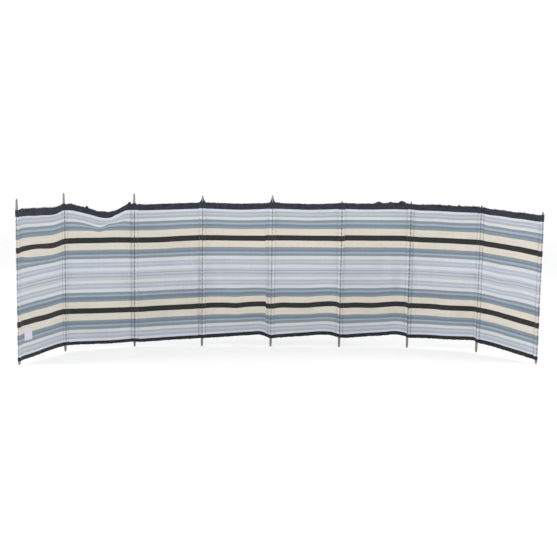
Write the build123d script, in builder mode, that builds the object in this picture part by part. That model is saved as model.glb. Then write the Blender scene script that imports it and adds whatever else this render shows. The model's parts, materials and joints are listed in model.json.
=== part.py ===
"""Beach windbreak: striped cloth in eight bays, with a wooden pole in a sewn sleeve at each end of a bay.

Millimetres, +Z up. The origin is the flat foot of the middle pole (pole 5) and the bays run on
along +X. The front of the cloth faces -Y. Each bay turns about the poles that it hangs between.
"""
import os
from math import cos, radians, sin

from build123d import *

os.makedirs("parts", exist_ok=True)

# Plan. The bays are numbered from the left, and bay n hangs between pole n and pole n + 1.
bay_width = 610  # of the cloth, from pole centre to pole centre
bay_take_ups = (0, 0, 20, 2, 0, 2, 2, 0)  # what slack and belly draw each bay in by
bay_headings = (67, 26, 6.5, 2.5, 2, 2, -15.5, -49)  # degrees from +X, anticlockwise from above

# Poles: round wood, cut to a blunt point at the foot and drawn in to a slimmer top.
pole_dia = 22
pole_foot_dia = 11
pole_point_length = 32
pole_tip_dia = 14
pole_tip_length = 105
pole_tip_rounding = 4
pole_tops = (90, 92, 98, 59, 65, 16, 17, 7, 28)  # bare length of each pole above the cloth

# Cloth: one height from hem to hem, threaded on the poles at its own height at each of them.
cloth_height = 1200
cloth_thickness = 2
hem_heights = (21, 51, 42, 69, 73, 79, 83, 76, 27)  # lower edge of the cloth above the pole foot
top_hem_width = 50
bottom_hem_width = 33
hem_thickness = 4.5
seam_gap = 0.2  # between a hem and the panel that it edges

# Sleeves: round the pole, with the cloth of both bays ending on them.
sleeve_clearance = 0.3
sleeve_wall = 1.6
cloth_end_gap = 0.3

# How far each bay bellies away from the front, at the ground and at belly_height.
belly_height = 1400
ground_bellies = (12, 16, 12, 26, 26, 26, 20, 14)
head_bellies = (5, 12, 4, 5, 5, 5, 5, 5)

# Shape of the edges of each bay: rises above a straight edge, evenly spaced between its poles.
level = (0,)
slack = (-4, -9, -6)
lifted = (4, 8, 14, 17, 22, 27, 20)
top_edges = (
    (4, 2, -4, -8, -12, -15, -10),
    (-3, -21, -39, -58, -63, -42, -4),
    level,
    slack,
    slack,
    (-2, -3, -2, 0, 2, 4, 3),
    (-4, -3, -2, -5, -8, -6, -3),
    (-10, -8, -8, -9, -5, -2, -1),
)
bottom_edges = (
    level,
    level,
    level,
    lifted,
    lifted,
    lifted,
    (8, 11, 12, 13, 17, 20, 20),
    (6, 6, 4, 3, 2, -1, -1),
)

# Patch sewn on the front of the first bay, at its lower left.
patch_width = 96
patch_height = 98
patch_from_pole = 75
patch_above_hem = 158
patch_thickness = 1
patch_gap = 0.3

pole_radius = pole_dia / 2
sleeve_bore = pole_radius + sleeve_clearance
sleeve_radius = sleeve_bore + sleeve_wall
cut_radius = sleeve_radius + cloth_end_gap
cut_reach = 4 * (pole_dia + max(ground_bellies))
poles = range(1, len(hem_heights) + 1)
bays = poles[:-1]
home_pole = poles[len(poles) // 2]
patch_bay = bays[0]
bay_spans = [bay_width - take_up for take_up in bay_take_ups]  # pole centre to pole centre as it stands


def pole_places():
    """Plan position of each pole, walking the bays from the first and moving the home pole to 0, 0."""
    places = [(0, 0)]
    for span, heading in zip(bay_spans, bay_headings):
        x, y = places[-1]
        places.append((x + span * cos(radians(heading)), y + span * sin(radians(heading))))
    home_x, home_y = places[home_pole - 1]
    return [(x - home_x, y - home_y) for x, y in places]


places = pole_places()


def pole_plane(pole, height=0):
    """Level plane with its origin on the axis of a pole."""
    x, y = places[pole - 1]
    return Plane(origin=(x, y, height))


def plan_plane(bay, height):
    """Level plane of a bay: x runs along the bay from its left pole and y points away from the front."""
    x, y = places[bay - 1]
    heading = radians(bay_headings[bay - 1])
    return Plane(origin=(x, y, height), x_dir=(cos(heading), sin(heading), 0), z_dir=(0, 0, 1))


def front_plane(bay):
    """Upright plane of a bay as seen from its front: x runs along the bay and y is the height."""
    x, y = places[bay - 1]
    heading = radians(bay_headings[bay - 1])
    along, outward = (cos(heading), sin(heading), 0), (sin(heading), -cos(heading), 0)
    return Plane(origin=(x, y, 0), x_dir=along, z_dir=outward)


def edge_points(bay, shape, offset):
    """Points of an edge of a bay, at an offset from the straight line between the hems at its poles."""
    left, right = hem_heights[bay - 1], hem_heights[bay]
    rises = (0, *shape, 0)
    steps = len(rises) - 1
    return [
        (bay_spans[bay - 1] * step / steps, left + (right - left) * step / steps + offset + rise)
        for step, rise in enumerate(rises)
    ]


def cloth_piece(bay, thickness, lower, upper, proud=0):
    """Part of a bay's cloth between two edges, bowed as the bay is and cut off clear of both sleeves.

    It lies in the middle of the cloth, or stands proud of it towards the front by a distance.
    """
    span = bay_spans[bay - 1]
    front, back = -thickness / 2 - proud, thickness / 2 - proud
    with BuildPart() as piece:
        for height, belly in ((0, ground_bellies[bay - 1]), (belly_height, head_bellies[bay - 1])):
            with BuildSketch(plan_plane(bay, height)):
                with BuildLine():
                    ThreePointArc((0, front), (span / 2, belly + front), (span, front))
                    Line((span, front), (span, back))
                    ThreePointArc((span, back), (span / 2, belly + back), (0, back))
                    Line((0, back), (0, front))
                make_face()
        loft(ruled=True)
        with BuildSketch(front_plane(bay)):
            with BuildLine():
                low = Spline(*lower) if len(lower) > 2 else Line(*lower)
                high = Spline(*upper) if len(upper) > 2 else Line(*upper)
                Line(low @ 0, high @ 0)
                Line(low @ 1, high @ 1)
            make_face()
        extrude(amount=cut_reach, both=True, mode=Mode.INTERSECT)
        for pole in (bay, bay + 1):
            with BuildSketch(pole_plane(pole)):
                Circle(cut_radius)
            extrude(amount=belly_height, mode=Mode.SUBTRACT)
    return piece


def write(piece, name):
    """Name a finished piece and write its STEP file."""
    piece.part.label = name
    export_step(piece.part, f"parts/{name}.step")


# Poles and sleeves
for pole in poles:
    x, y = places[pole - 1]
    length = hem_heights[pole - 1] + cloth_height + pole_tops[pole - 1]
    with BuildPart() as pole_part:
        with BuildSketch(Plane(origin=(x, y, 0), x_dir=(1, 0, 0), z_dir=(0, -1, 0))):
            with BuildLine():
                Polyline(
                    (0, 0),
                    (pole_foot_dia / 2, 0),
                    (pole_radius, pole_point_length),
                    (pole_radius, length - pole_tip_length),
                    (pole_tip_dia / 2, length),
                    (0, length),
                    close=True,
                )
            make_face()
        revolve(axis=Axis((x, y, 0), (0, 0, 1)))
        fillet(pole_part.edges().filter_by(GeomType.CIRCLE).sort_by(Axis.Z)[-1], pole_tip_rounding)
    write(pole_part, f"pole_{pole}")

    with BuildPart() as sleeve:
        with BuildSketch(pole_plane(pole, hem_heights[pole - 1])):
            Circle(sleeve_radius)
            Circle(sleeve_bore, mode=Mode.SUBTRACT)
        extrude(amount=cloth_height)
    write(sleeve, f"sleeve_{pole}")

# Cloth of each bay: a panel between a top hem and a bottom hem
for bay in bays:
    top, bottom = top_edges[bay - 1], bottom_edges[bay - 1]

    panel = cloth_piece(
        bay,
        cloth_thickness,
        edge_points(bay, bottom, bottom_hem_width + seam_gap),
        edge_points(bay, top, cloth_height - top_hem_width - seam_gap),
    )
    write(panel, f"panel_{bay}")

    top_hem = cloth_piece(
        bay,
        hem_thickness,
        edge_points(bay, top, cloth_height - top_hem_width),
        edge_points(bay, top, cloth_height),
    )
    write(top_hem, f"top_hem_{bay}")

    bottom_hem = cloth_piece(
        bay,
        hem_thickness,
        edge_points(bay, bottom, 0),
        edge_points(bay, bottom, bottom_hem_width),
    )
    write(bottom_hem, f"bottom_hem_{bay}")

# Patch: a plain sewn square that lies on the front of the cloth
patch_foot = hem_heights[patch_bay - 1] + patch_above_hem
patch_head = patch_foot + patch_height
patch_end = patch_from_pole + patch_width
patch = cloth_piece(
    patch_bay,
    patch_thickness,
    [(patch_from_pole, patch_foot), (patch_end, patch_foot)],
    [(patch_from_pole, patch_head), (patch_end, patch_head)],
    proud=(cloth_thickness + patch_thickness) / 2 + patch_gap,
)
write(patch, "sewn_patch")
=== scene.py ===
"""Beach windbreak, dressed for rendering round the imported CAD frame.

Distances in this file are millimetres until a mesh is made, and metres in Blender. Poles and bays are
numbered from the left. On each bay, "across" runs from its left pole to its right one and "down" from
the cloth's top edge to its bottom edge, both along the cloth. The front of the cloth faces -Y.
"""
import json

import bpy
import numpy as np
from math import acos, pi, radians
from mathutils import Matrix, Vector


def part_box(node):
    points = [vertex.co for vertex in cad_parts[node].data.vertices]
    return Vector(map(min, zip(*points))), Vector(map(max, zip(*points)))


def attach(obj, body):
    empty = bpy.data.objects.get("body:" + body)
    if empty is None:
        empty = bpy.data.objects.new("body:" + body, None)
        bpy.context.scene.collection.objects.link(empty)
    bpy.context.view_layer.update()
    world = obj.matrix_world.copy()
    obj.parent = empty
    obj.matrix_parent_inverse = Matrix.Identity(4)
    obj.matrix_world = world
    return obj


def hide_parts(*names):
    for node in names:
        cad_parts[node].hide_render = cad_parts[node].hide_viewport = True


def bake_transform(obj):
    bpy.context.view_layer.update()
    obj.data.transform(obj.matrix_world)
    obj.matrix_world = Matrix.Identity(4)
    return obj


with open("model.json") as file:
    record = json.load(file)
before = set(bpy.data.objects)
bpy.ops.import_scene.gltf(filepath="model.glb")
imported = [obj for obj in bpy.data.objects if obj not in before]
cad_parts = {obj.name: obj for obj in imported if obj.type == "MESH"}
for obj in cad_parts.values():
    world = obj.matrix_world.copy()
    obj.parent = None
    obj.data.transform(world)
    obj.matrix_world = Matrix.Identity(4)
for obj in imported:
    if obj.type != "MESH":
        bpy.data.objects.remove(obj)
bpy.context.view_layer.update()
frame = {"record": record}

METRE = 1000.0

# The cloth's measures, as in the CAD source
cloth_height = 1200
ground_bellies = (12, 16, 12, 26, 26, 26, 20, 14)
head_bellies = (5, 12, 4, 5, 5, 5, 5, 5)
belly_height = 1400  # above the ground, where the head bellies hold
slack = (-4, -9, -6)
top_edges = (  # rises of each bay's top edge, evenly spaced between its poles
    (4, 2, -4, -8, -12, -15, -10),
    (-3, -21, -39, -58, -63, -42, -4),
    (0,),
    slack,
    slack,
    (-2, -3, -2, 0, 2, 4, 3),
    (-4, -3, -2, -5, -8, -6, -3),
    (-10, -8, -8, -9, -5, -2, -1),
)

# How far down each top edge's shape is full, and where it is gone
top_shape_reach = (
    (60, 620), (60, 235), (60, 400), (60, 420), (60, 420), (20, 120), (60, 420), (60, 500),
)

# Waves of each bay's cloth at four levels: places along it, and rises
head_waves = {
    2: (
        (0, 0), (0.24, 2), (0.33, -5), (0.41, -14), (0.51, -20), (0.55, -14), (0.6, 5),
        (0.68, 13), (0.78, 13), (0.9, 3), (1, 0),
    ),
}
upper_stripe_waves = {
    1: ((0, -8), (0.2, -7), (0.4, -3), (1, -3)),
    2: ((0, -3), (0.2, 0), (0.5, 1.5), (0.75, 4), (1, 3)),
    3: ((0, 3), (0.1, 0), (0.35, -3.5), (0.75, 1), (1, 1)),
    4: ((0, 0), (0.84, -2), (0.9, -3), (0.912, 2), (1, 2)),
    5: ((0, 2), (0.5, 1), (0.85, -1), (1, -3)),
    6: ((0, -3), (0.08, 3), (0.4, 1.5), (0.9, 1.5), (1, -2)),
    7: ((0, -3), (0.2, -4.5), (0.6, -2.5), (1, -5)),
    8: ((0, -6), (0.2, -4), (0.5, -1.5), (0.8, -4.5), (1, -7)),
}
lower_stripe_waves = {
    1: ((0, 11), (0.35, 9), (0.55, 3), (0.93, 6), (1, 3)),
    2: ((0, 3), (0.15, 0), (0.85, -4), (1, -2)),
    3: ((0, -2), (0.1, -4.5), (0.35, -2), (0.85, -1), (1, 1)),
    4: ((0, 1), (0.14, 5.5), (0.37, 4), (0.49, 0.5), (0.6, 8), (0.84, 17), (0.92, 18), (0.93, 0), (1, 0)),
    5: ((0, 1), (0.18, 7), (0.3, 4.5), (0.53, 3.5), (0.64, 10), (0.87, 19), (0.95, 16), (1, 6)),
    6: ((0, 6), (0.1, 4.5), (0.22, 7.5), (0.46, 3.5), (0.69, 14), (0.81, 19), (0.95, 17), (0.98, 14), (1, 8)),
    7: ((0, 8), (0.27, 9.5), (0.38, 10), (0.5, 6), (0.73, 10), (0.93, 13), (0.975, 13), (1, 10)),
    8: ((0, 10), (0.35, 12), (0.5, 8), (0.75, 3), (1, 3)),
}
foot_waves = {
    1: ((0, 6), (0.2, 2), (0.4, -1), (0.75, 3), (1, -1)),
    2: ((0, -1), (0.15, 0), (0.35, -4), (0.65, -6), (1, 0)),
    3: ((0, 0), (0.08, -6), (0.3, -5), (0.5, -2.5), (1, 1)),
    4: ((0, 1), (0.12, 4), (0.25, 7), (0.5, 17), (0.72, 26), (0.82, 30), (0.88, 26), (0.95, 9), (1, 0)),
    5: ((0, 0), (0.12, 3.5), (0.25, 8), (0.5, 18), (0.76, 27), (0.87, 25), (0.95, 14), (1, 6)),
    6: (
        (0, 5), (0.1, 2), (0.22, 5), (0.46, 14), (0.69, 25), (0.81, 32), (0.9, 28),
        (0.96, 20), (0.985, 15), (1, 5),
    ),
    7: ((0, 5), (0.12, 8), (0.27, 12), (0.5, 13), (0.75, 18.5), (0.87, 22), (0.94, 24), (0.975, 22), (1, 9)),
    8: ((0, 8), (0.1, 10), (0.4, 9), (0.62, 4), (1, 4)),
}
cloth_waves = (  # how far down, half height
    (306, 130, upper_stripe_waves),
    (150, 45, head_waves),
    (907, 150, lower_stripe_waves),
    (1187, 150, foot_waves),
)

# Local folds of the cloth: across, half width, down, half height, rise, bulge to the front
cloth_folds = {
    1: ((0, 120, 402, 40, 30, 7), (430, 150, 330, 120, -10, 3), (235, 170, 345, 28, 11, 0)),
    2: (
        (370, 110, 120, 70, 0, 9), (250, 60, 60, 60, 0, -4), (300, 34, 215, 34, -10, 3),
        (306, 26, 170, 60, 0, -3),
    ),
    4: ((590, 110, 900, 170, 0, 4),),
    5: ((480, 110, 720, 90, 4, 3),),
    6: ((480, 110, 720, 90, 4, 3),),
    8: ((190, 130, 620, 160, -9, -5), (420, 120, 640, 200, 5, 4)),
}

# Ripples of the cloth: depth, size across and down, the edge that they keep to, and how far
cloth_ripples = (
    (2.6, 420, 620, None, 1),
    (0.7, 130, 420, None, 1),
    (0.8, 240, 46, "seam", 70),
    (0.9, 44, 400, "head", 60),
    (0.7, 60, 400, "foot", 50),
)
ripple_start = (-2, 45)  # from a pocket's end: where they begin and where they are full

# The striped cloth between two pockets
cloth_thickness = 0.9
panel_tuck = 5  # under the ends of the pockets
panel_reach = (30, 1180)
panel_grid = (156, 96)
bay_mark = 611  # keeps the weave of one bay apart from the next one's

# Where the hems end: the top one's foot along each bay, and the bottom one's head
top_hem_foot = 52
top_hem_feet = {
    1: ((0, 52), (0.12, 58), (0.6, 61), (0.82, 63), (1, 52)),
    2: ((0, 52), (0.4, 50), (0.55, 53), (0.66, 54), (0.74, 45), (0.86, 48), (1, 45)),
    3: ((0, 46), (0.1, 51), (0.3, 53), (1, 55)),
    4: ((0, 54), (0.6, 54), (1, 52)),
    5: ((0, 52), (1, 52)),
    6: ((0, 52), (0.45, 55), (1, 55)),
    7: ((0, 54), (0.4, 55), (0.6, 52), (0.9, 58), (1, 62)),
    8: ((0, 62), (0.1, 57), (0.5, 54), (1, 57)),
}
bottom_hem_head = 1167
bottom_hem_heads = {2: 1171, 3: 1170, 8: 1164}

# Hems: flat rolls of turned cloth, ragged at their outer edge
top_hem_thickness = 3.6
bottom_hem_thickness = 3.4
hem_tuck = 9  # over the ends of the pockets
hem_lip = 0.5  # past the cloth's own edge
hem_grid = (210, 16)
roll_powers = (0.6, 0.7)  # of its section, through and up: 1 is an ellipse, 0 a rectangle
top_roughness = (5.0, 4.5, 1.2, 1.6, 1.8, 3.0, 2.6, 5.0)
bottom_roughness = 1.6
ragged_waves = ((46, 1, 0.35), (19, 1, 0.4), (10, 1, 0.22))  # sizes, and share of the roughness
ragged_limits = (-3, 24)
ragged_start = 12  # from a hem's end to its full raggedness
pucker_waves = ((24, 60, 0.16), (9, 30, 0.12))  # sizes, and share of the thickness
pucker_limits = (-0.25, 0.5)
tuft_swell = 0.5  # share by which a full tuft is thicker
full_tuft = 14

# Tufts of the ragged top hems: across, half width, height
hem_tufts = {
    1: ((60, 14, 4), (210, 20, 5), (330, 16, 4), (500, 40, -6)),
    2: ((75, 20, 5), (202, 12, 18), (330, 10, 2), (475, 60, -12), (574, 20, 34)),
    3: ((35, 26, 6),),
    4: ((590, 22, 5),),
    5: ((40, 20, 6), (595, 10, 7)),
    6: ((25, 12, 9), (325, 26, 14), (425, 24, 10), (527, 27, 21), (590, 10, 8)),
    7: ((35, 30, -12), (330, 16, 4), (415, 10, 11), (585, 20, -6)),
    8: (
        (35, 45, -18), (150, 14, 3), (200, 120, -5), (225, 12, 6), (340, 30, -4), (480, 40, -6),
        (560, 20, -6),
    ),
}

# Frays: loose ends of yarn
least_frays = 16
frays_for_roughness = 30
top_fray_length, bottom_fray_length = 10, 7
fray_root = 4  # inside the hem
fray_radii = (0.9, 0.45)  # at the root and at the tip

# Sleeves: the cloth goes round each pole in a pocket that closes on a seam at each side
flare = 31  # from the pole's axis to the end of the pocket
sleeve_bore = 11.4
sleeve_wall = 1.2
outer_radius = sleeve_bore + sleeve_wall
closed_width = 7  # of a pocket's end, where its front and back meet
sleeve_arc = 14  # of cloth to a radian
sleeve_peaks = (2, 3, 13, 34, 38, 3, -4, -16, 3)  # of the hem up each pole
sleeve_hem_feet = {3: 45, 6: 56, 8: 62}
sleeve_necks = {4: 0.95, 5: 0.9, 6: 0.8, 7: 0.8, 8: 0.8, 9: 0.5}  # share of a peak cut away in front
neck_width = 0.75  # in radians
mouth_gather = 16  # over which a peak draws in to the pole
mouth_opening = 9  # of a peak's foot from the pole
mouth_gaps = (1.7, 0.5)  # of its outside and inside from the pole, where it is drawn in

# Poles
pole_radius = 11
pole_swell = 0.15  # where a pole is uneven, at most
foot_profile = ((0, 6.2), (1.5, 7.6), (10, 9.4), (30, pole_radius))  # height above the foot, radius
tip_profile = ((0, 2.6), (1, 4.6), (3, 6.0), (6, 6.9), (14, 7.6))  # depth below the tip, radius
tip_reach = 105  # from a pole's tip down to its full thickness
tip_reaches = {4: 50, 5: 45}
pole_sides = 24
foot_rings = (0, 1.5, 4, 7, 10, 16, 24, 32, 44, 60, 80)  # above the foot
tip_rings = (112, 96, 80, 66, 52, 40, 30, 20, 14, 9, 6, 3, 1, 0)  # below the tip
shaft_rings = (100, 130, 24)  # first one above the foot, last one below the tip, count
facet_depth = 0.06  # of the cuts round the foot, as a share of the radius
facet_heights = (1, 28)

# Stitches: pitch, length and radius
hem_stitch = (5.5, 4.0, 0.5)
pocket_stitch = (7.5, 5.2, 0.65)
last_pocket_stitch = (7.5, 5.2, 1.7)
front_stitch = (7.5, 6.6, 1.3)
patch_stitch = (4.0, 2.9, 0.4)
stitch_stops = (0, 0.2, 0.5, 0.8, 1)  # along a stitch
stitch_taper = (0.35, 0.85, 1, 0.85, 0.35)  # share of its radius there
cloth_faces = (("front", 1), ("back", -1))

# Seams
hem_inset = 5  # from the inner edge of a hem
pocket_inset = 4.5  # from the end of a pocket
pocket_lift = 0.3  # off the pocket's cloth
seam_swings = (1.6, 2.6, 2.6, 2.0, 2.0, 3.4, 3.0, 1.4, 2.0)  # of the zigzag up the front
tape_widths = (4, 7, 7, 5.5, 4.5, 7, 7, 3.5, 5)  # of the tape under it
tape_lifts = (0.9, 0.1)  # of the tape's outside and inside
tape_gather = 36  # from one narrow place of the tape to the next

# The bare patch
patch_width = 96
patch_height = 98
patch_from_pole = 75
patch_grid = (42, 40)
patch_lifts = (1.1, 0.5)  # of its outside and inside from the middle of the cloth
patch_inset = 6  # of its stitches
patch_stitch_lift = 1.6

# Stripes: where each band of weft ends, down from the top edge, and its yarn
bands = (
    (73, "lilac"), (93, "haze"), (102.5, "sky"), (121, "stone"), (146, "white"), (168, "slate"),
    (185.5, "dusk"), (201, "lead"), (224, "slate"), (284, "cream"), (330.8, "black"), (388, "cream"),
    (412, "slate"), (428, "lead"), (444, "dusk"), (465.5, "slate"), (496, "white"), (510, "haze"),
    (524, "sky"), (543, "haze"), (571, "lilac"), (590, "ash"), (599, "smoke"), (614, "sky"),
    (624, "smoke"), (651, "ash"), (676, "white"), (693, "haze"), (707, "sky"), (724, "haze"),
    (753.5, "white"), (775, "slate"), (789, "dusk"), (815, "lead"), (832, "slate"), (887.4, "cream"),
    (933.6, "black"), (992, "cream"), (1011.5, "slate"), (1031, "lead"), (1044, "dusk"),
    (1069.5, "slate"), (1096.5, "white"), (1110.5, "stone"), (1129, "sky"), (1148, "haze"),
    (1200, "lilac"),
)
band_sections = (0, 284, 590, 887.4, cloth_height)
yarns = {  # as seen, 0 to 255
    "lilac": (202, 206, 215),
    "white": (204, 206, 209),
    "sky": (184, 191, 202),
    "haze": (170, 177, 187),
    "stone": (168, 172, 178),
    "ash": (186, 188, 194),
    "smoke": (158, 163, 172),
    "dusk": (155, 168, 182),
    "slate": (130, 141, 149),
    "lead": (114, 129, 141),
    "cream": (210, 204, 192),
    "black": (42, 43, 43),
}
stripe_wander = 0.0009  # of a band's edge, in metres
floor_fade = (8, 15)  # metres from the origin: whole below the first, gone above the second
world_light = 0.83  # on the object, where 1 is white

body_of = {
    node: body for body, nodes in frame["record"]["behaviour"]["bodies"].items() for node in nodes
}
poles = range(1, len(sleeve_peaks) + 1)
bays = poles[:-1]
pole_boxes = {pole: np.array(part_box(f"pole_{pole}")) * METRE for pole in poles}
pole_heights = {pole: corners[:, 2] for pole, corners in pole_boxes.items()}  # of foot and tip
axes = {pole: corners[:, :2].mean(0) for pole, corners in pole_boxes.items()}  # in plan
cloth_tops = {pole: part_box(f"sleeve_{pole}")[1].z * METRE for pole in poles}
spans = {bay: float(np.linalg.norm(axes[bay + 1] - axes[bay])) for bay in bays}
alongs = {bay: (axes[bay + 1] - axes[bay]) / spans[bay] for bay in bays}
aways = {bay: np.array((-alongs[bay][1], alongs[bay][0])) for bay in bays}  # to the back


# Curves and points


def smoothstep(low, high, value):
    """0 below low, 1 above high and smooth between."""
    share = np.clip((np.asarray(value, float) - low) / (high - low), 0, 1)
    return share * share * (3 - 2 * share)


def bump(value, centre, half_width):
    """1 at the centre, falling away smoothly on both sides."""
    return np.exp(-(((value - centre) / half_width) ** 2))


def curve_through(rises, share):
    """Smooth curve through rises evenly spaced between two zeros, at a share of the way along."""
    knots = np.array((0, 0, *rises, 0, 0), float)
    place = np.clip(share, 0, 1) * (len(rises) + 1)
    start = np.minimum(place.astype(int), len(rises))
    step = place - start
    before, here, after, beyond = (knots[start + shift] for shift in range(4))
    slope, next_slope = (after - before) / 2, (beyond - here) / 2
    jump = after - here
    bend = 3 * jump - 2 * slope - next_slope + step * (slope + next_slope - 2 * jump)
    return here + step * (slope + step * bend)


def path(stops, share):
    """Smooth curve through places and values, with no overshoot between them."""
    places, values = (np.array(part, float) for part in zip(*stops))
    steps = np.diff(places)
    grades = np.diff(values) / steps
    before, after = grades[:-1], grades[1:]
    gentle = np.minimum(3 * np.minimum(abs(before), abs(after)), abs(before + after) / 2)
    slopes = np.zeros(len(places))
    slopes[1:-1] = (before * after > 0) * np.sign(after) * gentle
    share = np.clip(share, places[0], places[-1])
    end = np.clip(np.searchsorted(places, share, "right"), 1, len(places) - 1)
    start, width = end - 1, steps[end - 1]
    t = (share - places[start]) / width
    eased = t * t * (3 - 2 * t)
    bent = t * (1 - t) * ((1 - t) * slopes[start] - t * slopes[end]) * width
    return values[start] + (values[end] - values[start]) * eased + bent


def ripples(seed, across, down, size_across, size_down, count=28):
    """Random waves of about these sizes over the cloth, mostly within -1.5 to 1.5."""
    draw = np.random.default_rng(seed)
    total = np.zeros(np.broadcast(across, down).shape)
    for _ in range(count):
        pull, drop = draw.normal(0, 2 * pi, 2) / (size_across, size_down)
        total += np.cos(pull * across + drop * down + draw.uniform(0, 2 * pi))
    return total * (2 / count) ** 0.5


def layers(seed, across, down, sizes_and_heights):
    """Ripples of several sizes and heights on each other."""
    return sum(
        height * ripples(seed + step, across, down, size_across, size_down)
        for step, (size_across, size_down, height) in enumerate(sizes_and_heights)
    )


def plan_ways(turn):
    """Unit vectors in plan at these angles."""
    return np.stack((np.cos(turn), np.sin(turn)), -1)


def raised(plan, height):
    """Points from their places in plan and their heights."""
    return np.concatenate((plan, height[..., None]), -1)


# Meshes


def make_object(name, points, faces, finish, marks=None, smooth=True):
    """Mesh object from points in millimetres, with named marks at its points for the materials."""
    mesh = bpy.data.meshes.new(name)
    mesh.from_pydata((np.asarray(points).reshape(-1, 3) / METRE).tolist(), [], faces)
    for mark, values in (marks or {}).items():
        layer = mesh.attributes.new(mark, "FLOAT", "POINT")
        layer.data.foreach_set("value", (np.asarray(values).ravel() / METRE).astype(np.float32))
    mesh.polygons.foreach_set("use_smooth", [smooth] * len(mesh.polygons))
    mesh.materials.append(finish)
    mesh.update()
    piece = bpy.data.objects.new(name, mesh)
    bpy.context.scene.collection.objects.link(piece)
    return piece


def grid_faces(rows, columns, wrap=False, first=0, flip=False):
    """Faces of a grid of points, rows running down and columns across, seen from the front."""
    faces = []
    for row in range(rows - 1):
        here, below = first + row * columns, first + (row + 1) * columns
        for column in range(columns if wrap else columns - 1):
            right = (column + 1) % columns
            face = [here + column, below + column, below + right, here + right]
            faces.append(face[::-1] if flip else face)
    return faces


def end_faces(rings, sides, first=0):
    """Flat ends of a tube of rings of points."""
    last = first + (rings - 1) * sides
    return [list(range(first, first + sides)), list(reversed(range(last, last + sides)))]


def skin(name, outside, inside, finish, across, down, wrap=False):
    """Closed thin cloth between two grids of points. With wrap, the columns go all the way round."""
    rows, columns = outside.shape[:2]
    count = rows * columns
    faces = grid_faces(rows, columns, wrap) + grid_faces(rows, columns, wrap, count, flip=True)
    at = np.arange(count).reshape(rows, columns)
    round_all = np.concatenate((at[0], at[1:, -1], at[-1, -2::-1], at[-2:0:-1, 0]))
    for loop in (at[0], at[-1, ::-1]) if wrap else (round_all,):
        onward = np.roll(loop, -1)
        faces += np.stack((loop, onward, onward + count, loop + count), -1).tolist()
    points = np.concatenate((outside.reshape(-1, 3), inside.reshape(-1, 3)))
    both = {"across": np.tile(np.ravel(across), 2), "down": np.tile(np.ravel(down), 2)}
    return make_object(name, points, faces, finish, both)


def tube(name, rings, finish, across, down):
    """Closed tube through rings of points, with flat ends."""
    count, sides = rings.shape[:2]
    faces = grid_faces(count, sides, wrap=True, flip=True) + end_faces(count, sides)
    return make_object(name, rings, faces, finish, {"across": across, "down": down})


def strands(name, lines, radii, facing, finish, sides=4):
    """Many short round threads in one piece, with a radius at each point. Facing is a way in plan."""
    count, length = lines.shape[:2]
    way = np.gradient(lines, axis=1)
    way /= np.linalg.norm(way, axis=2, keepdims=True)
    side = np.cross(way, np.broadcast_to((*facing, 0.0), way.shape))
    side /= np.linalg.norm(side, axis=2, keepdims=True)
    other = np.cross(side, way)
    turn = np.arange(sides) * 2 * pi / sides
    ring = side[:, :, None] * np.cos(turn)[:, None] + other[:, :, None] * np.sin(turn)[:, None]
    points = lines[:, :, None] + ring * radii[..., None, None]
    faces = []
    for first in range(0, count * length * sides, length * sides):
        faces += grid_faces(length, sides, wrap=True, first=first) + end_faces(length, sides, first)
    return make_object(name, points, faces, finish, {"across": points[..., 0], "down": points[..., 2]})


# Materials


def linear(seen):
    """Linear colour of an 8-bit display colour."""
    share = np.array(seen) / 255
    low, high = share / 12.92, ((share + 0.055) / 1.055) ** 2.4
    return (*(float(value) for value in np.where(share <= 0.04045, low, high)), 1.0)


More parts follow.
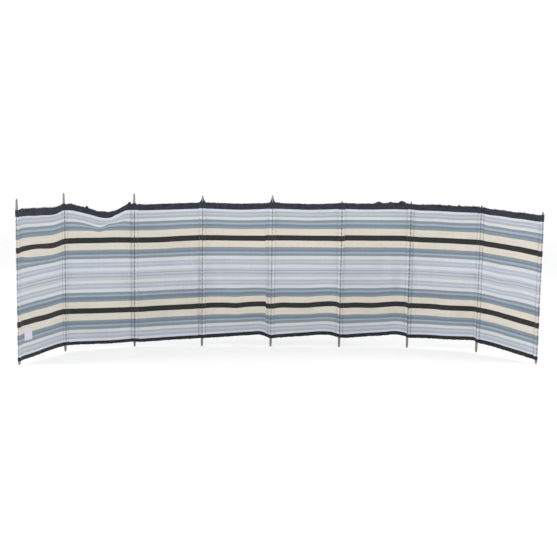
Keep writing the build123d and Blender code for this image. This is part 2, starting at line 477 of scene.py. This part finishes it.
class Finish:
    """Nodes of a material or of the world: most calls add some and return their output."""

    def __init__(self, owner, shader="Principled BSDF"):
        owner.use_nodes = True
        self.owner, self.tree = owner, owner.node_tree
        self.shader = self.tree.nodes[shader]

    def node(self, kind, settings=None, **inputs):
        """New node. Its inputs are fed by name, or by number as i0, i1 and so on."""
        made = self.tree.nodes.new("ShaderNode" + kind)
        for key, value in (settings or {}).items():
            setattr(made, key, value)
        for key, value in inputs.items():
            numbered = key[0] == "i" and key[1:].isdigit()
            self.feed(made.inputs[int(key[1:]) if numbered else key], value)
        return made

    def feed(self, socket, value):
        """Links an output to a socket, or sets the socket's own value."""
        if isinstance(value, bpy.types.NodeSocket):
            self.tree.links.new(value, socket)
        else:
            socket.default_value = value

    def math(self, operation, a, b=0.0):
        return self.node("Math", {"operation": operation}, i0=a, i1=b).outputs[0]

    def product(self, first, *others):
        for other in others:
            first = self.math("MULTIPLY", first, other)
        return first

    def scaled(self, value, low, high, to_low=0, to_high=1):
        """Maps low to high onto another range, and keeps inside it."""
        return self.node("MapRange", i0=value, i1=low, i2=high, i3=to_low, i4=to_high).outputs[0]

    def seen(self):
        """1 for what the camera sees, also in metal or glass, and 0 for the light on the object."""
        paths = self.node("LightPath").outputs
        plain = self.math("MAXIMUM", paths["Is Camera Ray"], paths["Is Glossy Ray"])
        return self.math("MAXIMUM", plain, paths["Is Transmission Ray"])

    def place(self):
        return self.node("TexCoord").outputs["Object"]

    def stretched(self, vector, scale):
        return self.node("Mapping", i0=vector, i3=scale).outputs[0]

    def noise(self, vector, scale=1.0, detail=2.0, roughness=0.5):
        grain = {"Scale": scale, "Detail": detail, "Roughness": roughness}
        return self.node("TexNoise", Vector=vector, **grain).outputs[0]

    def ramp(self, value, stops, interpolation="LINEAR"):
        made = self.node("ValToRGB", i0=value)
        made.color_ramp.interpolation = interpolation
        points = made.color_ramp.elements
        while len(points) < len(stops):
            points.new(0.5)
        for point, (position, _) in zip(points, stops):
            point.position = position
        for point, (_, seen) in zip(points, stops):
            point.color = linear(seen)
        return made.outputs[0]

    def mix(self, share, a, b, blend="MIX"):
        """Two colours mixed. Each is an output, or is written as it is seen, 0 to 255."""
        settings = {"data_type": "RGBA", "blend_type": blend}
        a, b = (linear(colour) if isinstance(colour, tuple) else colour for colour in (a, b))
        return self.node("Mix", settings, i0=share, i6=a, i7=b).outputs[2]

    def grey(self, value):
        return self.node("CombineColor", i0=value, i1=value, i2=value).outputs[0]

    def bumped(self, height, distance, strength):
        """Bumps the surface by a height of 0 to 1 times a distance in metres."""
        made = self.node("Bump", Height=height, Distance=distance, Strength=strength)
        self.feed(self.shader.inputs["Normal"], made.outputs[0])

    def done(self, colour, roughness, sheen=0.0):
        """Feeds the shader and returns the finished material."""
        self.feed(self.shader.inputs["Base Color"], colour)
        self.feed(self.shader.inputs["Roughness"], roughness)
        self.shader.inputs["Sheen Weight"].default_value = sheen
        self.shader.inputs["Specular IOR Level"].default_value = 0.25
        return self.owner


class ClothFinish(Finish):
    """Finish of a piece whose points are marked with their place on the cloth."""

    def __init__(self, name):
        super().__init__(bpy.data.materials.new(name))
        self.across, self.down = (
            self.node("Attribute", {"attribute_name": mark}).outputs["Fac"]
            for mark in ("across", "down")
        )

    def grain(self, rate_across, rate_down, detail=2.0, roughness=0.5):
        """Noise that is finer across or down the cloth at a higher rate."""
        across, down = self.product(self.across, rate_across), self.product(self.down, rate_down)
        place = self.node("CombineXYZ", i0=across, i1=down).outputs[0]
        return self.noise(place, detail=detail, roughness=roughness)

    def weave(self, pitch):
        """Height of a plain weave, 0 to 1, with yarns of this pitch in metres."""
        rate = 2 * pi / pitch
        yarns = [self.math("SINE", self.product(way, rate)) for way in (self.across, self.down)]
        return self.scaled(self.product(*yarns), -1, 1)


def striped_finish(name, shade_tone=1.0):
    """Woven cloth that changes yarn from band to band. A tone below 1 darkens all of it, as painted shade."""
    f = ClothFinish(name)
    wander = f.scaled(f.grain(90, 500, detail=1), 0, 1, -stripe_wander, stripe_wander)
    wandering = f.math("ADD", f.down, wander)
    starts = [0, *(end for end, _ in bands)]
    stripes = yarns[bands[0][1]]
    for head, foot in zip(band_sections, band_sections[1:]):
        stops = [
            ((start - head) / (foot - head), yarns[yarn])
            for start, (_, yarn) in zip(starts, bands) if head <= start < foot
        ]
        section = f.ramp(f.scaled(wandering, head / METRE, foot / METRE), stops, "CONSTANT")
        below = f.math("GREATER_THAN", wandering, head / METRE)
        stripes = f.mix(below, stripes, section)
    yarn = f.grain(9, 620, detail=3, roughness=0.6)
    slub = f.grain(45, 900)
    warp = f.grain(700, 14)
    fading = f.grain(3.1, 4.3, detail=4)
    weave = f.weave(0.0017)
    streaks = f.grain(2.4, 105, detail=3, roughness=0.6)
    picks = f.grain(1.3, 240, detail=1)
    ends = f.grain(120, 1.5)
    shade = f.product(
        f.scaled(yarn, 0.2, 0.8, 0.93, 1.06),
        f.scaled(slub, 0.2, 0.8, 0.97, 1.03),
        f.scaled(warp, 0.2, 0.8, 0.97, 1.03),
        f.scaled(fading, 0.25, 0.75, 0.96, 1.03),
        f.scaled(weave, 0, 1, 0.95, 1.03),
        f.scaled(streaks, 0.3, 0.7, 0.95, 1.045),
        f.scaled(picks, 0.6, 0.68, 1.0, 0.93),
        # The tone darkens the whole cloth: painted shade wherever it is below 1
        f.scaled(ends, 0.3, 0.7, 0.98 * shade_tone, 1.02 * shade_tone),
    )
    f.bumped(f.math("ADD", f.product(weave, 0.6), f.product(yarn, 0.4)), 0.0005, 0.6)
    colour = f.mix(1.0, stripes, f.grey(shade), "MULTIPLY")
    return f.done(colour, f.scaled(slub, 0.2, 0.8, 0.82, 0.96), sheen=0.1)


def hem_finish(name, dark, mid, pale):
    """Turned plain cloth with rubbed, paler flecks along its folds."""
    f = ClothFinish(name)
    yarn = f.grain(60, 420, detail=3)
    flecks = f.grain(130, 150, detail=4, roughness=0.7)
    worn = f.grain(14, 30, detail=3)
    creased = f.grain(26, 40)
    lighter = f.product(f.scaled(yarn, 0.3, 0.7), f.scaled(creased, 0.35, 0.6, 0.2, 1.25))
    rubbed = f.product(f.scaled(flecks, 0.55, 0.68), f.scaled(worn, 0.4, 0.7, 0.1, 0.8))
    colour = f.mix(rubbed, f.mix(lighter, dark, mid), pale)
    f.bumped(f.math("ADD", f.product(f.weave(0.0021), 0.5), flecks), 0.0009, 0.7)
    return f.done(colour, f.scaled(yarn, 0.2, 0.8, 0.85, 0.98), sheen=0.08)


def wood_finish():
    """Grey weathered softwood, cracked along its grain and soiled at its foot."""
    f = Finish(bpy.data.materials.new("weathered_pole_wood"))
    place = f.place()
    grain = f.noise(f.stretched(place, (420, 420, 9)), detail=4, roughness=0.65)
    broad = f.noise(f.stretched(place, (60, 60, 5)))
    cracks = f.noise(f.stretched(place, (900, 900, 14)))
    colour = f.ramp(grain, ((0.25, (92, 93, 89)), (0.5, (134, 135, 130)), (0.75, (166, 167, 160))))
    colour = f.mix(f.scaled(broad, 0.3, 0.7, 0, 0.5), colour, (118, 117, 108))
    split = f.scaled(cracks, 0.66, 0.72)
    colour = f.mix(f.product(split, 0.75), colour, (58, 55, 48))
    height = f.node("SeparateXYZ", i0=place).outputs[2]
    soil = f.product(f.scaled(height, 0.0, 0.075, 0.4, 0.0), f.scaled(broad, 0.3, 0.7, 0.4, 1))
    colour = f.mix(soil, colour, (116, 115, 104))
    f.bumped(f.math("SUBTRACT", grain, split), 0.0006, 0.8)
    return f.done(colour, f.scaled(grain, 0.2, 0.8, 0.6, 0.85))


def patch_finish():
    """Plain pale cloth, closely woven."""
    f = ClothFinish("pale_patch_weave")
    blotch = f.grain(40, 40, detail=3)
    colour = f.mix(f.scaled(blotch, 0.3, 0.7), (198, 196, 213), (213, 212, 222))
    weave = f.weave(0.0011)
    colour = f.mix(1.0, colour, f.grey(f.scaled(weave, 0, 1, 0.94, 1.02)), "MULTIPLY")
    f.bumped(weave, 0.0003, 0.6)
    return f.done(colour, f.scaled(blotch, 0.2, 0.8, 0.75, 0.9), sheen=0.1)


def thread_finish(name, dark, pale):
    """Twisted sewing thread."""
    f = ClothFinish(name)
    twist = f.grain(900, 900)
    f.bumped(twist, 0.0003, 0.6)
    colour = f.mix(f.scaled(twist, 0.3, 0.7), dark, pale)
    return f.done(colour, f.scaled(twist, 0, 1, 0.7, 0.9))


stripes = striped_finish("striped_weave")
navy = hem_finish("navy_hem_weave", (34, 36, 46), (56, 58, 69), (112, 114, 126))
dark_hem = hem_finish("dark_hem_weave", (26, 29, 32), (44, 47, 50), (94, 97, 101))
wood = wood_finish()
patch_weave = patch_finish()
# Stripes darkened to half: painted shade of the crease up each pocket's front seam
shaded_tape_weave = striped_finish("seam_tape_weave", shade_tone=0.5)
seam_thread = thread_finish("seam_thread", (76, 83, 93), (104, 111, 122))
pocket_thread = thread_finish("pocket_thread", (120, 126, 134), (156, 161, 169))
navy_thread = thread_finish("navy_thread", (34, 36, 48), (70, 73, 88))
pale_thread = thread_finish("pale_thread", (176, 180, 190), (214, 216, 222))


# Cloth of the bays


def bay_rise(bay, across, down):
    """How far a bay's cloth stands above the straight line between its poles."""
    share = across / spans[bay]
    rise = curve_through(top_edges[bay - 1], share) * (1 - smoothstep(*top_shape_reach[bay - 1], down))
    for level_down, half_height, waves in cloth_waves:
        if bay in waves:
            rise = rise + path(waves[bay], share) * bump(down, level_down, half_height)
    for middle, half_width, level_down, half_height, lift, _ in cloth_folds.get(bay, ()):
        rise = rise + lift * bump(across, middle, half_width) * bump(down, level_down, half_height)
    return rise


def bay_point(bay, across, down, proud=0.0):
    """Points of a bay's cloth. Proud is how far they stand off towards the front."""
    across, down = np.broadcast_arrays(np.asarray(across, float), np.asarray(down, float))
    share = across / spans[bay]
    height = cloth_tops[bay] * (1 - share) + cloth_tops[bay + 1] * share - down
    height = height + bay_rise(bay, across, down)
    ground_belly, head_belly = ground_bellies[bay - 1], head_bellies[bay - 1]
    belly = ground_belly + (head_belly - ground_belly) * height / belly_height
    away = 4 * belly * share * (1 - share)
    from_seam = np.minimum(across, spans[bay] - across) - flare
    free = smoothstep(*ripple_start, from_seam)
    edges = {None: 0, "seam": from_seam, "head": down, "foot": cloth_height - down}
    for step, (depth, size_across, size_down, edge, fade) in enumerate(cloth_ripples):
        waves = ripples(100 * bay + step, across, down, size_across, size_down)
        away = away + free * depth * np.exp(-edges[edge] / fade) * waves
    for middle, half_width, level_down, half_height, _, bulge in cloth_folds.get(bay, ()):
        away = away - bulge * free * bump(across, middle, half_width) * bump(down, level_down, half_height)
    plan = axes[bay] + alongs[bay] * across[..., None] + aways[bay] * (away - proud)[..., None]
    return raised(plan, height)


def hem_foot(bay, across):
    """How far down a bay's top hem ends."""
    return path(top_hem_feet[bay], across / spans[bay])


def panel(bay):
    """The striped cloth between the seams of its two sleeves."""
    rows, columns = panel_grid
    across = np.linspace(flare - panel_tuck, spans[bay] - flare + panel_tuck, columns)
    across, down = np.meshgrid(across, np.linspace(*panel_reach, rows))
    sides = [bay_point(bay, across, down, side * cloth_thickness / 2) for side in (1, -1)]
    return skin(f"striped_panel_{bay}", *sides, stripes, across + bay_mark * bay, down)


def hem(bay, name, upper, thickness, roughness, tufts, finish):
    """A turned hem: a flat roll of cloth along an edge of a bay, ragged at its outer edge."""
    width = spans[bay]
    rings, sides = hem_grid
    across = np.linspace(flare - hem_tuck, width - flare + hem_tuck, rings)[:, None]
    turn = (np.arange(sides) * 2 * pi / sides)[None, :]
    if upper:
        head, foot = -hem_lip, hem_foot(bay, across)
    else:
        head, foot = bottom_hem_heads.get(bay, bottom_hem_head), cloth_height + hem_lip
    ways = zip((np.cos(turn), np.sin(turn)), roll_powers)
    through, up = (np.sign(way) * np.abs(way) ** power for way, power in ways)
    down = (head + foot) / 2 - up * (foot - head) / 2
    seed = 1000 * bay + (0 if upper else 500)
    ragged = roughness * layers(seed, across, 0 * across, ragged_waves)
    for place, half_width, height in tufts:
        ragged = ragged + height * bump(across, place, half_width)
    settled = smoothstep(0, ragged_start, np.minimum(across, width - across) - flare + hem_tuck)
    ragged = np.clip(ragged, *ragged_limits) * settled
    way = 1 if upper else -1
    down = down - way * ragged * smoothstep(0.1, 1, way * np.sin(turn))
    pucker = np.clip(layers(seed + 5, across, down, pucker_waves), *pucker_limits) * settled
    swell = 1 + tuft_swell * np.clip(ragged / full_tuft, 0, 1)
    across = np.broadcast_to(across, down.shape)
    points = bay_point(bay, across, down, through * thickness / 2 * swell * (1 + pucker))
    return tube(f"{name}_{bay}", points, finish, across + bay_mark * bay, down)


def frays(bay, name, upper, count, reach, finish):
    """Loose ends of yarn that stand out of the outer edge of a hem."""
    draw = np.random.default_rng(7000 + 10 * bay + upper)
    width = spans[bay]
    start = draw.uniform(flare, width - flare, (count, 1))
    lean, curl = draw.normal(0, 0.6, (count, 1)), draw.normal(0, 0.5, (count, 1))
    length = reach * draw.uniform(0.35, 1, (count, 1))
    depth = draw.normal(0, 1.0, (count, 1))
    lift = np.zeros((count, 1))
    if upper:
        for place, half_width, height in hem_tufts.get(bay, ()):
            lift += height * bump(start, place, half_width)
    along = np.linspace(0, 1, 5)[None, :]
    across = start + length * (lean * along + curl * along**2)
    across = np.clip(across, flare - fray_root - 2, width - flare + fray_root + 2)
    rise = lift * 0.8 - fray_root + (length + fray_root) * along * (1 - 0.25 * np.abs(curl) * along)
    down = -rise if upper else cloth_height + rise * 0.8
    lines = bay_point(bay, across, down, depth * (1 + along))
    radii = np.broadcast_to(np.linspace(*fray_radii, 5), across.shape)
    return strands(f"{name}_{bay}", lines, radii, aways[bay], finish, sides=3)


def stitch_run(name, point, start, end, stitch, facing, finish, swing=0.0):
    """Stitches in a line or a zigzag. Point gives the place of a distance along it and one aside."""
    pitch, length, radius = stitch
    count = int((end - start) // pitch)
    first = start + (end - start - count * pitch) / 2 + np.arange(count)[:, None] * pitch
    share = np.array(stitch_stops)[None, :]
    turns = np.where(np.arange(count) % 2, -1, 1)[:, None]
    along = first + share * length
    radii = np.broadcast_to(radius * np.array(stitch_taper), along.shape)
    return strands(name, point(along, swing * turns * (2 * share - 1)), radii, facing, finish)


def sew_bay(bay):
    """Stitching along both hems of a bay, on both faces of the cloth."""
    bottom = bottom_hem_heads.get(bay, bottom_hem_head) + hem_inset
    rows = (  # name, how far down, how far from the middle of the cloth
        ("top_hem_stitches", lambda across: hem_foot(bay, across) - hem_inset, 1.9),
        ("bottom_hem_stitches", lambda across: bottom, 1.7),
    )
    return [
        stitch_run(
            f"{name}_{face}_{bay}",
            lambda along, aside: bay_point(bay, along, row(along) + aside, side * lift),
            flare + 2, spans[bay] - flare - 2, hem_stitch, aways[bay], navy_thread,
        )
        for name, row, lift in rows for face, side in cloth_faces
    ]


# Sleeves and poles


def sleeve_radius(turn, ways, radius, reach):
    """Distance of a pocket's cloth from its pole's axis: round it and drawn out to each seam."""
    spread = acos(radius / reach)
    distance = np.full(np.shape(turn), float(radius))
    for way in ways:
        off = np.abs((turn - way + pi) % (2 * pi) - pi)
        distance = np.maximum(distance, np.where(off < spread, radius / np.cos(spread - off), 0))
    return distance


def pole_radii(pole, heights, length):
    """A pole's radius: blunt at its foot, round along its length and drawn in at its tip."""
    whole = (tip_reaches.get(pole, tip_reach), pole_radius)
    foot = np.interp(heights, *zip(*foot_profile))
    return np.minimum(foot, np.interp(length - heights, *zip(*tip_profile, whole)))


def sleeve_ways(pole):
    """Directions in plan from a pole along the bays that it carries, by bay."""
    return {
        bay: float(np.arctan2(side * alongs[bay][1], side * alongs[bay][0]))
        for bay, side in ((pole - 1, -1), (pole, 1)) if bay in spans
    }


def bay_across(pole, bay, reach):
    """Place along a bay at a distance from one of its poles."""
    return reach if bay == pole else spans[bay] - reach


def sleeve_rise(pole, offset, down):
    """How far a pocket's cloth stands above its straight place, to meet its bays."""
    rises, toward = [], []
    for bay, side in ((pole - 1, -1), (pole, 1)):
        if bay in spans:
            toward.append(offset @ alongs[bay] * side)
            rises.append(bay_rise(bay, bay_across(pole, bay, np.maximum(toward[-1], 0)), down))
    if len(rises) == 1:
        return rises[0]
    share = smoothstep(-pole_radius, pole_radius, (toward[1] - toward[0]) / 2)
    return rises[0] * (1 - share) + rises[1] * share


def sleeve_piece(pole, name, ways, front, first, sweep):
    """The pocket round a pole from an angle on, as one half or all the way round."""
    wrap = sweep == 2 * pi
    turn = np.linspace(first, first + sweep, 56 if wrap else 29, endpoint=not wrap)[None, :]
    outer = sleeve_radius(turn, ways, outer_radius, flare)
    inner = sleeve_radius(turn, ways, sleeve_bore, flare - closed_width)
    near_pole = 1 - smoothstep(0, 1, (outer - outer.min()) / (flare - outer.min()))
    ragged = ripples(5000 + pole, turn * sleeve_arc, 0 * turn, 22, 1)
    from_front = (turn - front + pi) % (2 * pi) - pi
    neck = 1 - sleeve_necks.get(pole, 0) * bump(from_front, 0, neck_width)
    peak = sleeve_peaks[pole - 1]
    head = -peak * near_pole**0.9 * neck * (1 + 0.12 * ragged) - 1.2 * ragged
    hem_end = sleeve_hem_feet.get(pole, top_hem_foot)
    foot = cloth_height + near_pole + 0.9 * ragged
    share = np.linspace(0, 1, 14)[:, None]
    down = np.concatenate((
        head + (hem_end - head) * share,
        np.linspace(hem_end, bottom_hem_head, 112)[1:-1, None] + 0 * turn,
        bottom_hem_head + (foot - bottom_hem_head) * share[::2],
    ))
    wrinkle = ripples(5100 + pole, turn * 13, down, 60, 42) * 0.35 * near_pole
    gather = smoothstep(0, mouth_gather, -down)
    opened = mouth_opening * (1 - np.clip(-down / max(peak, 20), 0, 1))
    pole_foot, pole_tip = pole_heights[pole]
    bare = pole_radii(pole, cloth_tops[pole] - down - pole_foot, pole_tip - pole_foot)
    sides = []
    for distance, gap in zip((outer + wrinkle, inner), mouth_gaps):
        drawn_in = np.minimum(distance, bare + gap + opened)
        offset = (distance + (drawn_in - distance) * gather)[..., None] * plan_ways(turn)
        height = cloth_tops[pole] - down + sleeve_rise(pole, offset, down)
        sides.append(raised(axes[pole] + offset, height))
    across = np.broadcast_to(turn * sleeve_arc + bay_mark * pole, down.shape)
    made = skin(name, *sides, stripes, across, down, wrap)
    made.data.materials.append(navy)
    made.data.materials.append(dark_hem)
    downs = np.tile(down.ravel(), 2)
    for face in made.data.polygons:
        middle = downs[list(face.vertices)].mean()
        face.material_index = 1 if middle < hem_end else 2 if middle > bottom_hem_head else 0
    return made


def seam_point(pole, bay, way, distance, side):
    """Gives points up a pocket seam, at a distance from the pole's axis on one side of the cloth."""
    slope = outer_radius / (flare**2 - outer_radius**2) ** 0.5

    def point(along, aside):
        reach = distance + aside
        offset = reach[..., None] * plan_ways(way)
        proud = (flare - reach) * slope
        if side < 0:  # where the bay's cloth lies behind the pocket
            panel_edge = bay_point(bay, bay_across(pole, bay, reach), along)[..., :2]
            proud = np.maximum(proud, (panel_edge - axes[bay]) @ aways[bay] + cloth_thickness / 2)
        plan = axes[pole] + offset - side * (proud + pocket_lift)[..., None] * aways[bay]
        return raised(plan, cloth_tops[pole] - along + sleeve_rise(pole, offset, along))

    return point


def front_point(pole, way, distance):
    """Gives points up the front of a pocket, round the pole."""

    def point(along, aside):
        offset = distance * plan_ways(way + aside / distance)
        return raised(axes[pole] + offset, cloth_tops[pole] - along + sleeve_rise(pole, offset, along))

    return point


def pole_timber(pole):
    """Round pole, not quite true, cut blunt at its foot and drawn in at its tip."""
    foot, tip = pole_heights[pole]
    length = tip - foot
    shaft = np.linspace(shaft_rings[0], length - shaft_rings[1], shaft_rings[2])
    heights = np.concatenate((foot_rings, shaft, length - np.array(tip_rings)))[:, None]
    turn = (np.arange(pole_sides) * 2 * pi / pole_sides)[None, :]
    cut = (heights > facet_heights[0]) * (heights < facet_heights[1])
    facets = 1 - facet_depth * np.abs(np.sin(turn * 2.5 + pole)) * cut
    uneven = 1 + 0.012 * ripples(9000 + pole, turn * pole_radius, heights, 40, 260)
    radius = np.minimum(pole_radii(pole, heights, length) * facets * uneven, pole_radius + pole_swell)
    plan = axes[pole] + radius[..., None] * plan_ways(turn)
    rings = raised(plan, np.broadcast_to(heights + foot, radius.shape))
    marks = [np.broadcast_to(mark, radius.shape) for mark in (turn * pole_radius, heights)]
    return tube(f"timber_{pole}", rings, wood, *marks)


def seam_shade_tape(pole, way):
    """Narrow tape sewn up the front of a pocket, gathered here and there. Its cloth is darkened to half, as
    painted shade of the crease along the seam.
    """
    down = np.linspace(top_hem_foot, bottom_hem_head, 240)[:, None]
    gathered = 1 + 0.7 * np.sin(2 * pi * down / tape_gather + pole)
    gathered = gathered + 0.15 * ripples(5300 + pole, 0 * down, down, 1, 60)
    half_width = tape_widths[pole - 1] / 2
    aside = np.linspace(-half_width, half_width, 5)[None, :] * gathered
    down, aside = np.broadcast_arrays(down, aside)
    sides = [front_point(pole, way, outer_radius + lift)(down, aside) for lift in tape_lifts]
    return skin(f"seam_tape_{pole}", *sides, shaded_tape_weave, aside + bay_mark * pole, down)


def sew_front(pole, way):
    """Stitching up the front of a pocket: a zigzag over the tape, and plain over both hems."""
    rows = (  # name, start, end, how far from the pocket, thread, swing
        ("front_seam_head", 2, top_hem_foot, 0.4, navy_thread, 0.0),
        ("front_seam", top_hem_foot + 6, bottom_hem_head - 4, 0.9, seam_thread, seam_swings[pole - 1]),
        ("front_seam_foot", bottom_hem_head + 2, cloth_height - 3, 0.4, navy_thread, 0.0),
    )
    return [
        stitch_run(
            f"{name}_{pole}", front_point(pole, way, outer_radius + lift), start, end, front_stitch,
            plan_ways(way), thread, swing,
        )
        for name, start, end, lift, thread, swing in rows
    ]


def sew_pocket(pole, bay, way):
    """The seam that closes a pocket towards a bay, on both faces of the cloth."""
    last = pole == poles[-1]
    stitch, thread = (last_pocket_stitch, seam_thread) if last else (pocket_stitch, pocket_thread)
    return [
        stitch_run(
            f"pocket_seam_{face}_{pole}_{bay}", seam_point(pole, bay, way, flare - pocket_inset, side),
            top_hem_foot + 4, bottom_hem_head - 3, stitch, aways[bay], thread,
        )
        for face, side in cloth_faces
    ]


def blend_point(pole, way=0.0, distance=0.0):
    return (*((axes[pole] + distance * plan_ways(way)) / METRE), cloth_height / 2 / METRE)


def hang(piece, blend, body):
    """Keeps a piece in place on no body where a blend is given, or has it ride on one body where none is."""
    if blend:
        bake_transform(piece)
    else:
        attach(piece, body)


bay_pieces = {}
for bay in bays:
    roughness = top_roughness[bay - 1]
    cloth = panel(bay)
    top = hem(bay, "top_hem_roll", True, top_hem_thickness, roughness, hem_tufts.get(bay, ()), navy)
    bottom = hem(bay, "bottom_hem_roll", False, bottom_hem_thickness, bottom_roughness, (), dark_hem)
    top_frays = int(least_frays + frays_for_roughness * roughness)
    others = [
        top,
        bottom,
        frays(bay, "top_hem_frays", True, top_frays, top_fray_length, navy),
        frays(bay, "bottom_hem_frays", False, least_frays, bottom_fray_length, dark_hem),
        *sew_bay(bay),
    ]
    for piece in (cloth, *others):
        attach(piece, f"bay_{bay}")
    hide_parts(f"panel_{bay}")
    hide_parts(f"top_hem_{bay}")
    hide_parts(f"bottom_hem_{bay}")
    bay_pieces[bay] = (cloth, others)

for pole in poles:
    timber = pole_timber(pole)
    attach(timber, body_of[f"pole_{pole}"])
    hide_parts(f"pole_{pole}")

for pole in poles:
    carried = sleeve_ways(pole)
    ways = list(carried.values())
    home = body_of[f"sleeve_{pole}"]
    front = -pi / 2 if len(ways) == 1 else ways[0] + ((ways[1] - ways[0]) % (2 * pi)) / 2
    ends = [blend_point(pole, way, flare) for way in ways]
    left_bay, right_bay = f"bay_{pole - 1}", f"bay_{pole}"
    blend = (left_bay, right_bay, *ends) if len(ways) == 2 and home != "middle_pole" else None
    for bay, way in carried.items():
        for run in sew_pocket(pole, bay, way):
            hang(run, blend, f"bay_{bay}")
            bay_pieces[bay][1].append(run)
    seams = [seam_shade_tape(pole, front), *sew_front(pole, front)]
    for piece in seams:
        hang(piece, blend, home)
    if home == "middle_pole":
        left = sleeve_piece(pole, f"sleeve_cloth_{pole}_left", ways, front, front - pi, pi)
        right = sleeve_piece(pole, f"sleeve_cloth_{pole}_right", ways, front, front, pi)
        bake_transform(left)
        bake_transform(right)
        pockets = [left, right]
    else:
        pockets = [sleeve_piece(pole, f"sleeve_cloth_{pole}", ways, front, 0, 2 * pi)]
        hang(pockets[0], blend, home)
    for piece in pockets:
        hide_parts(f"sleeve_{pole}")
    for piece in (*pockets, *seams):
        bay_pieces[max(carried)][1].append(piece)


# Patch


def patch_point(across, foot_share, proud):
    """Points of the patch: across from its pole, and a share of the way down it."""
    low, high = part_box("sewn_patch")
    row_top = cloth_tops[1] + (cloth_tops[2] - cloth_tops[1]) * across / spans[1]
    down = row_top - high.z * METRE + (high.z - low.z) * METRE * foot_share
    return bay_point(1, across, down + bay_rise(1, across, down), proud)


def sewn_patch():
    """Bare patch on the first bay, turned in at its edges and sewn down."""
    rows, columns = patch_grid
    inward_share, foot_share = np.meshgrid(np.linspace(0, 1, columns), np.linspace(0, 1, rows))
    inward, down = inward_share * patch_width, foot_share * patch_height
    edge = np.minimum(np.minimum(inward, patch_width - inward), np.minimum(down, patch_height - down))
    across = patch_from_pole + inward
    rise = 0.5 * smoothstep(0, 2.5, edge) - 0.35 * bump(edge, patch_inset, 1.6)
    rise = rise + 0.25 * ripples(77, across, down, 60, 50) * smoothstep(4, 14, edge)
    outside = patch_point(across, foot_share, patch_lifts[0] + rise)
    inside = patch_point(across, foot_share, patch_lifts[1])
    return skin("bare_patch", outside, inside, patch_weave, across, down)


def patch_sewing():
    """A line of stitches along each edge of the patch."""
    right, foot = patch_width - patch_inset, patch_height - patch_inset
    rows = (
        ("head", patch_width, lambda along: (along, patch_inset)),
        ("foot", patch_width, lambda along: (along, foot)),
        ("left", patch_height, lambda along: (patch_inset, along)),
        ("right", patch_height, lambda along: (right, along)),
    )

    def sewn(across, down):
        return patch_point(patch_from_pole + across, down / patch_height, patch_stitch_lift)

    return [
        stitch_run(
            f"patch_stitches_{name}", lambda along, _: sewn(*place(along)), patch_inset,
            length - patch_inset, patch_stitch, aways[1], pale_thread,
        )
        for name, length, place in rows
    ]


patch = sewn_patch()
patch_stitches = patch_sewing()
for piece in (patch, *patch_stitches):
    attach(piece, "bay_1")
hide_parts("sewn_patch")


# Stage, light and camera


def floor():
    """Plain pale ground that fades out towards its rim."""
    sides = 72
    rings = [*np.linspace(0, 6, 13)[1:], *np.linspace(7, 16, 10)]
    turn = np.arange(sides) * 2 * pi / sides
    centre = np.array((0.0, 1.0))
    rims = [raised(centre + ring * plan_ways(turn), 0 * turn) for ring in rings]
    points = np.concatenate(([(*centre, 0.0)], *rims)) * METRE
    faces = [(0, 1 + side, 1 + (side + 1) % sides) for side in range(sides)]
    faces += grid_faces(len(rings), sides, wrap=True, first=1)
    f = Finish(bpy.data.materials.new("pale_floor"))
    place, seen = f.place(), f.seen()
    f.shader.inputs["Emission Color"].default_value = (1, 1, 1, 1)
    f.feed(f.shader.inputs["Emission Strength"], f.product(seen, 0.52))
    mottle = f.scaled(f.noise(place, scale=3, detail=3), 0.3, 0.7, 0.79, 0.81)
    f.done(f.grey(f.product(mottle, f.scaled(seen, 0, 1, 1.0, 0.55))), 0.9)
    distance = f.node("VectorMath", {"operation": "LENGTH"}, i0=place).outputs["Value"]
    f.feed(f.shader.inputs["Alpha"], f.scaled(distance, *floor_fade, 1, 0))
    return make_object("pale_ground", points, faces, f.owner, smooth=False)


def lamp(name, place, target, size, power):
    """Large soft lamp that shines at a target."""
    data = bpy.data.lights.new(name, "AREA")
    data.shape, data.size, data.energy = "DISK", size, power
    made = bpy.data.objects.new(name, data)
    bpy.context.scene.collection.objects.link(made)
    aim = (Vector(target) - Vector(place)).to_track_quat("-Z", "Y")
    made.matrix_world = Matrix.Translation(place) @ aim.to_matrix().to_4x4()


floor()
sky = Finish(bpy.data.worlds.new("plain_white"), "Background")
sky.shader.inputs["Color"].default_value = (1, 1, 1, 1)
sky.feed(sky.shader.inputs["Strength"], sky.scaled(sky.seen(), 0, 1, world_light, 1))
bpy.context.scene.world = sky.owner
lamp("front_light", (-3.2, -6.5, 5.5), (0, -0.2, 0.6), 4.0, 100)
lamp("side_light", (4.5, -5.0, 3.5), (0.4, -0.2, 0.6), 3.0, 25)
lamp("left_light", (-9, -2, 4), (0.4, -0.2, 0.6), 3.5, 420)
lamp("right_light", (9, -2, 4), (-0.4, -0.2, 0.6), 3.5, 330)

camera = bpy.data.objects.new("camera", bpy.data.cameras.new("camera"))
bpy.context.scene.collection.objects.link(camera)
camera.data.sensor_width = 36
camera.data.lens = 61.3
tilt = Matrix.Rotation(radians(90 - 6.81), 4, "X")
roll = Matrix.Rotation(radians(0.86), 4, "Z")
camera.matrix_world = Matrix.Translation((0.062, -8.3, 1.6)) @ tilt @ roll
bpy.context.scene.camera = camera
bpy.context.scene.view_settings.view_transform = "Standard"
